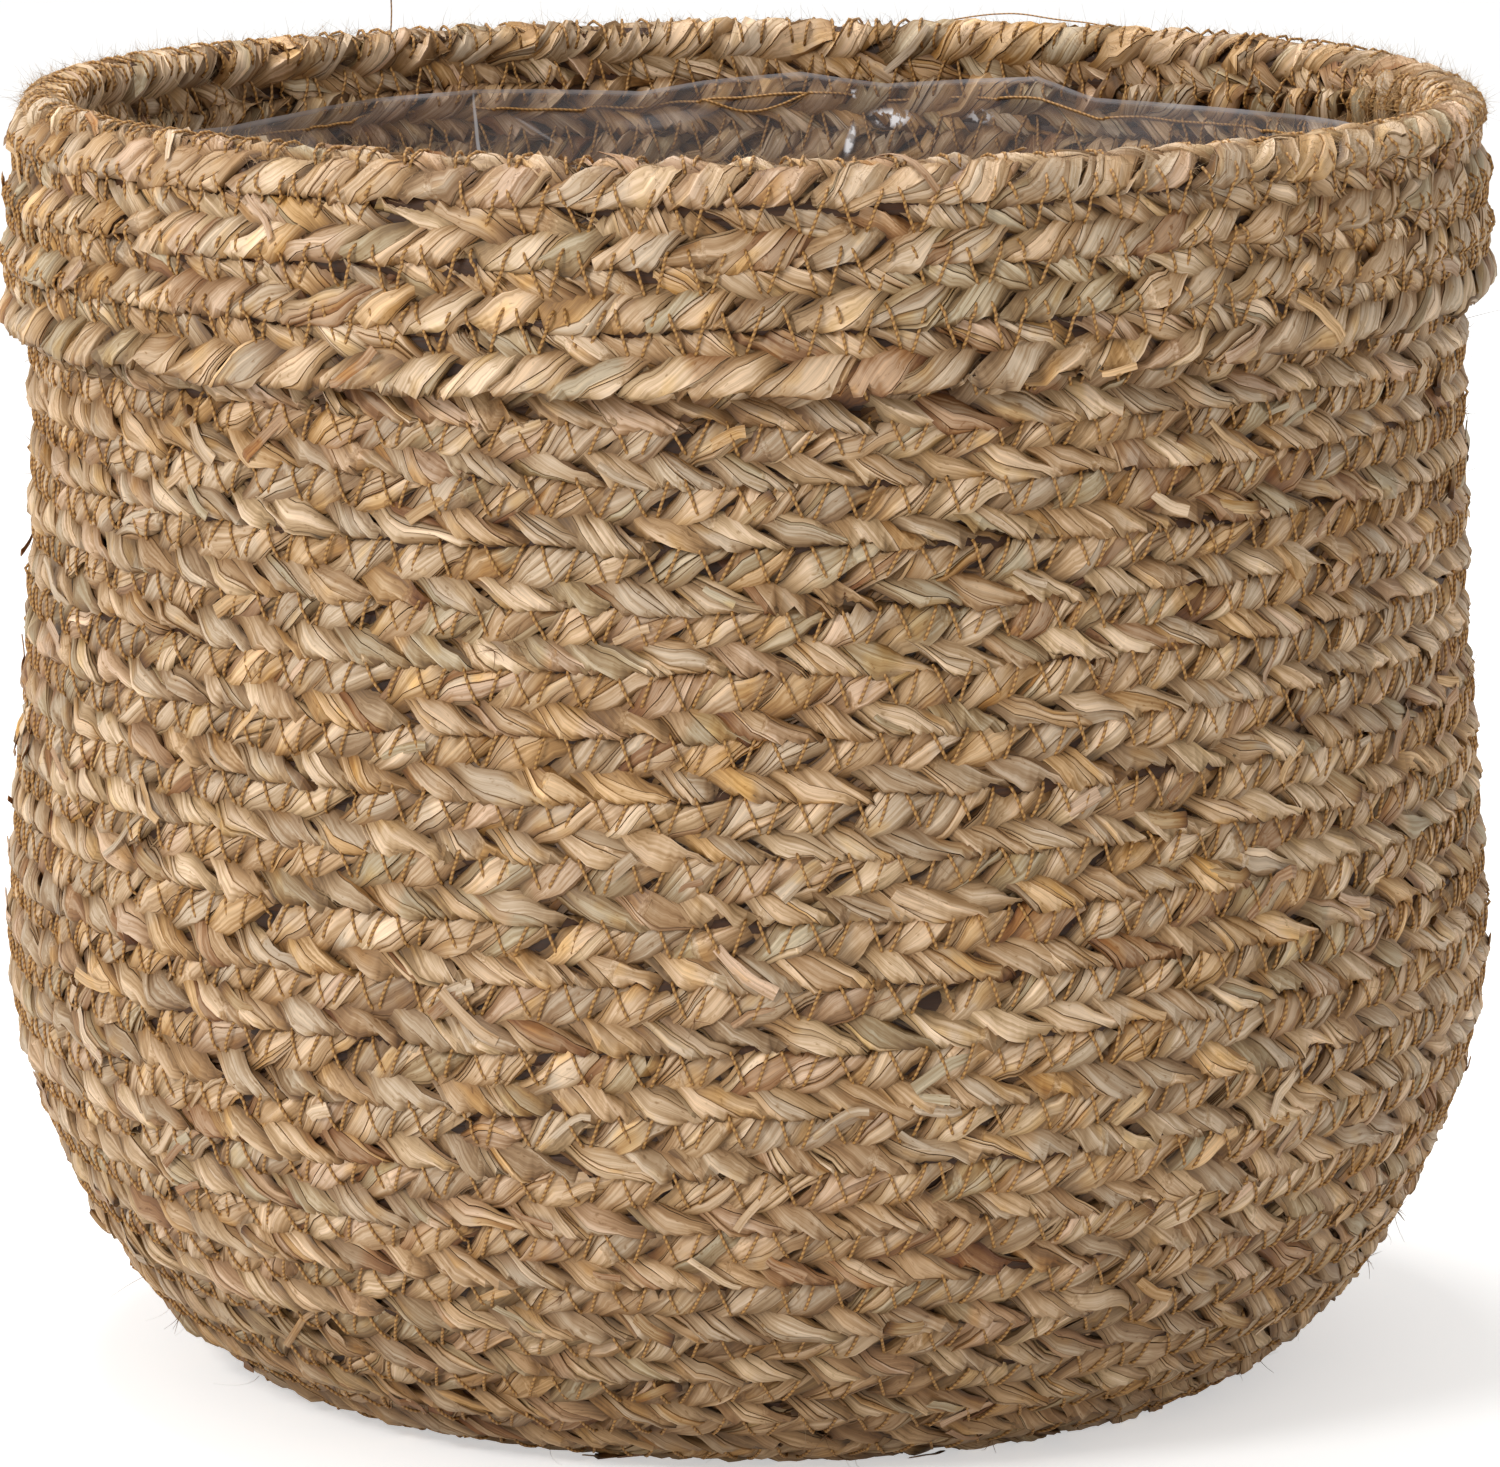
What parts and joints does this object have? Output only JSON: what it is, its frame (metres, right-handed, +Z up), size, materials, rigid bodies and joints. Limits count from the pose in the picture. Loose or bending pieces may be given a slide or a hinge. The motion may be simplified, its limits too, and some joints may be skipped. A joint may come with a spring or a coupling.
{
  "type": "planter basket",
  "caption": "Round planter basket of a sewn flat grass plait, bellied wall, turned-down cuff at the rim and a clear film liner, open at the top to hold a plant pot.",
  "frame": {"origin": "on the floor under the centre of the basket", "axes": "+Z up through the mouth, -Y towards the viewer of the picture, +X to that viewer's right"},
  "size_m": [0.4064, 0.4063, 0.349],
  "materials": {
    "base_grass": "dried grass plait, matt, darker and a little soiled underneath",
    "wall_grass": "dried grass plait, matt straw beige with golden, grey and pinkish strips",
    "cuff_grass": "dried grass plait, matt pale straw beige",
    "sewing_thread": "twisted golden brown sewing thread",
    "clear_film": "clear soft plastic film, glossy, creased"
  },
  "bodies": {
    "root": {"base_plait": "base_grass", "wall_plait": "wall_grass", "cuff_plait": "cuff_grass", "base_seam_thread": "sewing_thread", "wall_seam_thread": "sewing_thread", "cuff_seam_thread": "sewing_thread", "film_liner": "clear_film", "liner_stitch_thread": "sewing_thread"}
  },
  "joints": []
}
